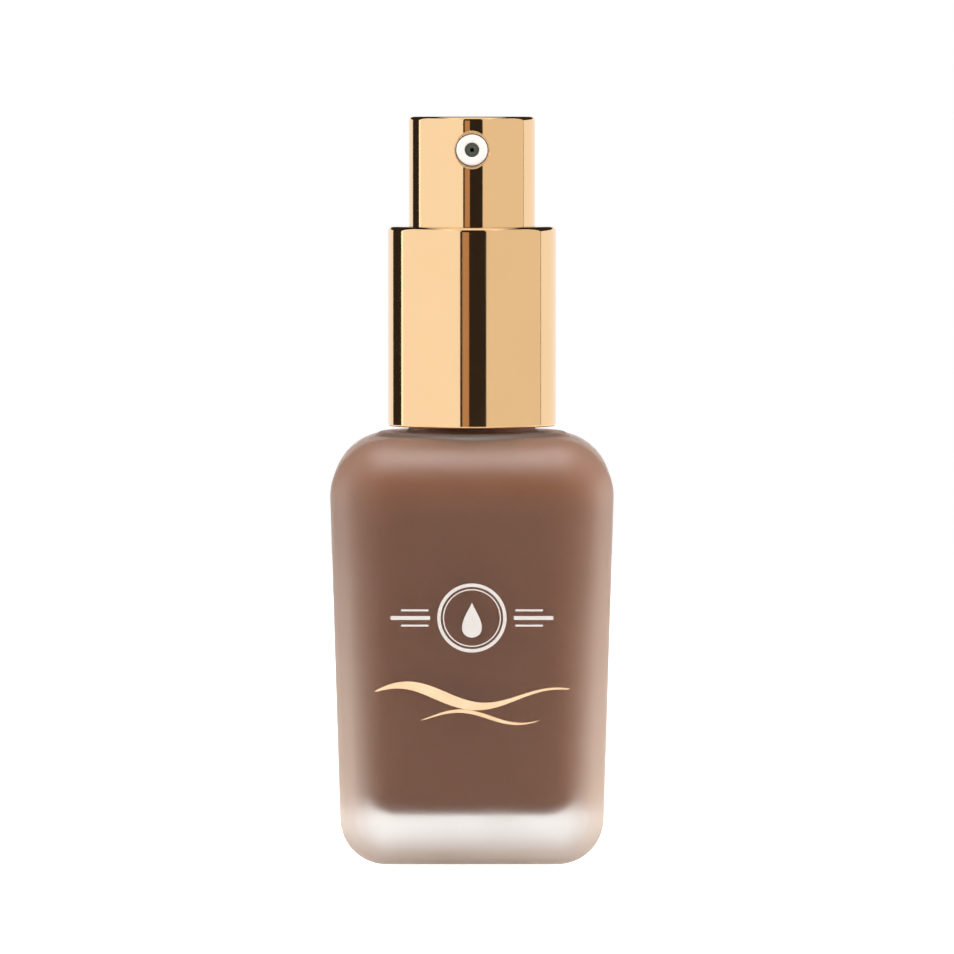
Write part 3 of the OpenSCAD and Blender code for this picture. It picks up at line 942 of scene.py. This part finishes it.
FLOOR_RADIUS = 0.65
floor = start("floor", bpy.ops.mesh.primitive_circle_add, vertices=96, radius=FLOOR_RADIUS,
              fill_type="NGON")
bpy.ops.object.mode_set(mode="OBJECT")
pale = finish_of("pale_floor", (0.7, 0.67, 0.645), (0.68, 0.65, 0.625), 0.9, 0.95,
                 grain=300, patch=5, bump=0, Specular_IOR_Level=0.0)
nodes, links = pale.node_tree.nodes, pale.node_tree.links
lit = nodes["Principled BSDF"]
seen_white = nodes.new("ShaderNodeEmission")
seen_white.inputs["Strength"].default_value = 0.75
both = nodes.new("ShaderNodeAddShader")
path = nodes.new("ShaderNodeLightPath")
choice = nodes.new("ShaderNodeMixShader")
links.new(lit.outputs["BSDF"], both.inputs[0])
links.new(seen_white.outputs["Emission"], both.inputs[1])
links.new(path.outputs["Is Camera Ray"], choice.inputs["Fac"])
links.new(lit.outputs["BSDF"], choice.inputs[1])
links.new(both.outputs["Shader"], choice.inputs[2])
links.new(choice.outputs["Shader"], nodes["Material Output"].inputs["Surface"])
wear(floor, pale)

EYE_AWAY, EYE_ASIDE, EYE_HEIGHT = 1.0, 0.63 * MM, 0.097
EYE_DOWN = math.radians(2.807)
camera_data = bpy.data.cameras.new("camera")
camera_data.lens = 299.5
camera_data.sensor_width = 36
camera_data.clip_start = 0.01
camera = bpy.data.objects.new("camera", camera_data)
camera.location = (EYE_ASIDE, -EYE_AWAY, EYE_HEIGHT)
camera.rotation_euler = (math.pi / 2 - EYE_DOWN, 0, 0)
bpy.context.scene.collection.objects.link(camera)
bpy.context.scene.camera = camera


def facing(azimuth, distance, height):
    """A place round the object. Azimuth 0 is in front, and it grows to the right."""
    turn = math.radians(azimuth)
    return Vector((math.sin(turn) * distance, -math.cos(turn) * distance, height))


def softbox(name, from_deg, to_deg, distance, foot, head, colour, radiance, shiny=True, soft=True):
    """A flat panel of light that spans two azimuths as seen from the object's axis."""
    middle = (from_deg + to_deg) / 2
    half = math.radians(abs(to_deg - from_deg) / 2)
    width = 2 * distance * math.tan(half)
    light = bpy.data.lights.new(name, "AREA")
    light.shape = "RECTANGLE"
    light.size = width
    light.size_y = head - foot
    light.color = colour
    light.energy = math.pi * radiance * width * (head - foot)
    panel = bpy.data.objects.new(name, light)
    level = (foot + head) / 2
    panel.location = facing(middle, distance, level)
    aim = Vector((0, 0, level)) - panel.location
    panel.rotation_euler = aim.to_track_quat("-Z", "Y").to_euler()
    panel.visible_camera = False
    panel.visible_glossy = shiny
    panel.visible_diffuse = soft
    panel.visible_transmission = soft
    bpy.context.scene.collection.objects.link(panel)
    return panel


softbox("left_softbox", -109, -16, 0.6, -0.1, 0.9, (1.0, 1.0, 1.0), 1.03)
softbox("left_edge", -113, -109, 0.86, -0.1, 0.9, (1.0, 1.0, 1.0), 1.5, soft=False)
softbox("right_softbox", 19.4, 108, 0.6, -0.1, 0.9, (0.83, 0.775, 0.685), 1.0)
softbox("backdrop_low", 109, 222, 0.5, -0.1, 0.2, (1.0, 1.0, 1.0), 0.98)
softbox("backdrop_high", 109, 222, 0.5, 0.2, 0.9, (1.0, 1.0, 1.0), 0.98, shiny=False)
softbox("warm_strip", -13, -4, 0.9, -0.1, 0.2, (0.48, 0.285, 0.163), 1.0, soft=False)
softbox("left_rim", -125, -85, 0.45, 0.0, 0.16, (1.0, 0.9, 0.8), 3.4, shiny=False)
softbox("right_rim", 85, 125, 0.45, 0.0, 0.16, (1.0, 0.88, 0.77), 5.4, shiny=False)


def high_light(name, azimuth, distance, height, side, radiance, shiny=False, soft=True):
    """A square panel of light above the bottle, turned down to it."""
    aim_height = 0.04
    light = bpy.data.lights.new(name, "AREA")
    light.shape = "SQUARE"
    light.size = side
    light.energy = math.pi * radiance * side * side
    lamp = bpy.data.objects.new(name, light)
    lamp.location = facing(azimuth, distance, height)
    aim = Vector((0, 0, aim_height)) - lamp.location
    lamp.rotation_euler = aim.to_track_quat("-Z", "Y").to_euler()
    lamp.visible_camera = False
    lamp.visible_glossy = shiny
    lamp.visible_diffuse = soft
    lamp.visible_transmission = soft
    bpy.context.scene.collection.objects.link(lamp)
    return lamp


high_light("overhead", 0, 0.12, 0.8, 0.6, 6)
high_light("top_card", 0, 0.1, 0.85, 0.9, 1.0, shiny=True, soft=False)

world = bpy.data.worlds.new("studio")
bpy.context.scene.world = world
world.use_nodes = True
tree = world.node_tree
tree.nodes.clear()
out = tree.nodes.new("ShaderNodeOutputWorld")
path = tree.nodes.new("ShaderNodeLightPath")


def sky(colour):
    """One plain background of the studio."""
    node = tree.nodes.new("ShaderNodeBackground")
    node.inputs["Color"].default_value = (*colour, 1)
    node.inputs["Strength"].default_value = 1.0
    return node


seen = sky((1, 1, 1))
mirrored = sky((0.028, 0.023, 0.02))
around = sky((0.5, 0.49, 0.48))
shine = tree.nodes.new("ShaderNodeMixShader")
tree.links.new(path.outputs["Is Glossy Ray"], shine.inputs["Fac"])
tree.links.new(around.outputs["Background"], shine.inputs[1])
tree.links.new(mirrored.outputs["Background"], shine.inputs[2])
direct = tree.nodes.new("ShaderNodeMixShader")
tree.links.new(path.outputs["Is Camera Ray"], direct.inputs["Fac"])
tree.links.new(shine.outputs["Shader"], direct.inputs[1])
tree.links.new(seen.outputs["Background"], direct.inputs[2])
tree.links.new(direct.outputs["Shader"], out.inputs["Surface"])

bpy.context.scene.view_settings.view_transform = "Standard"
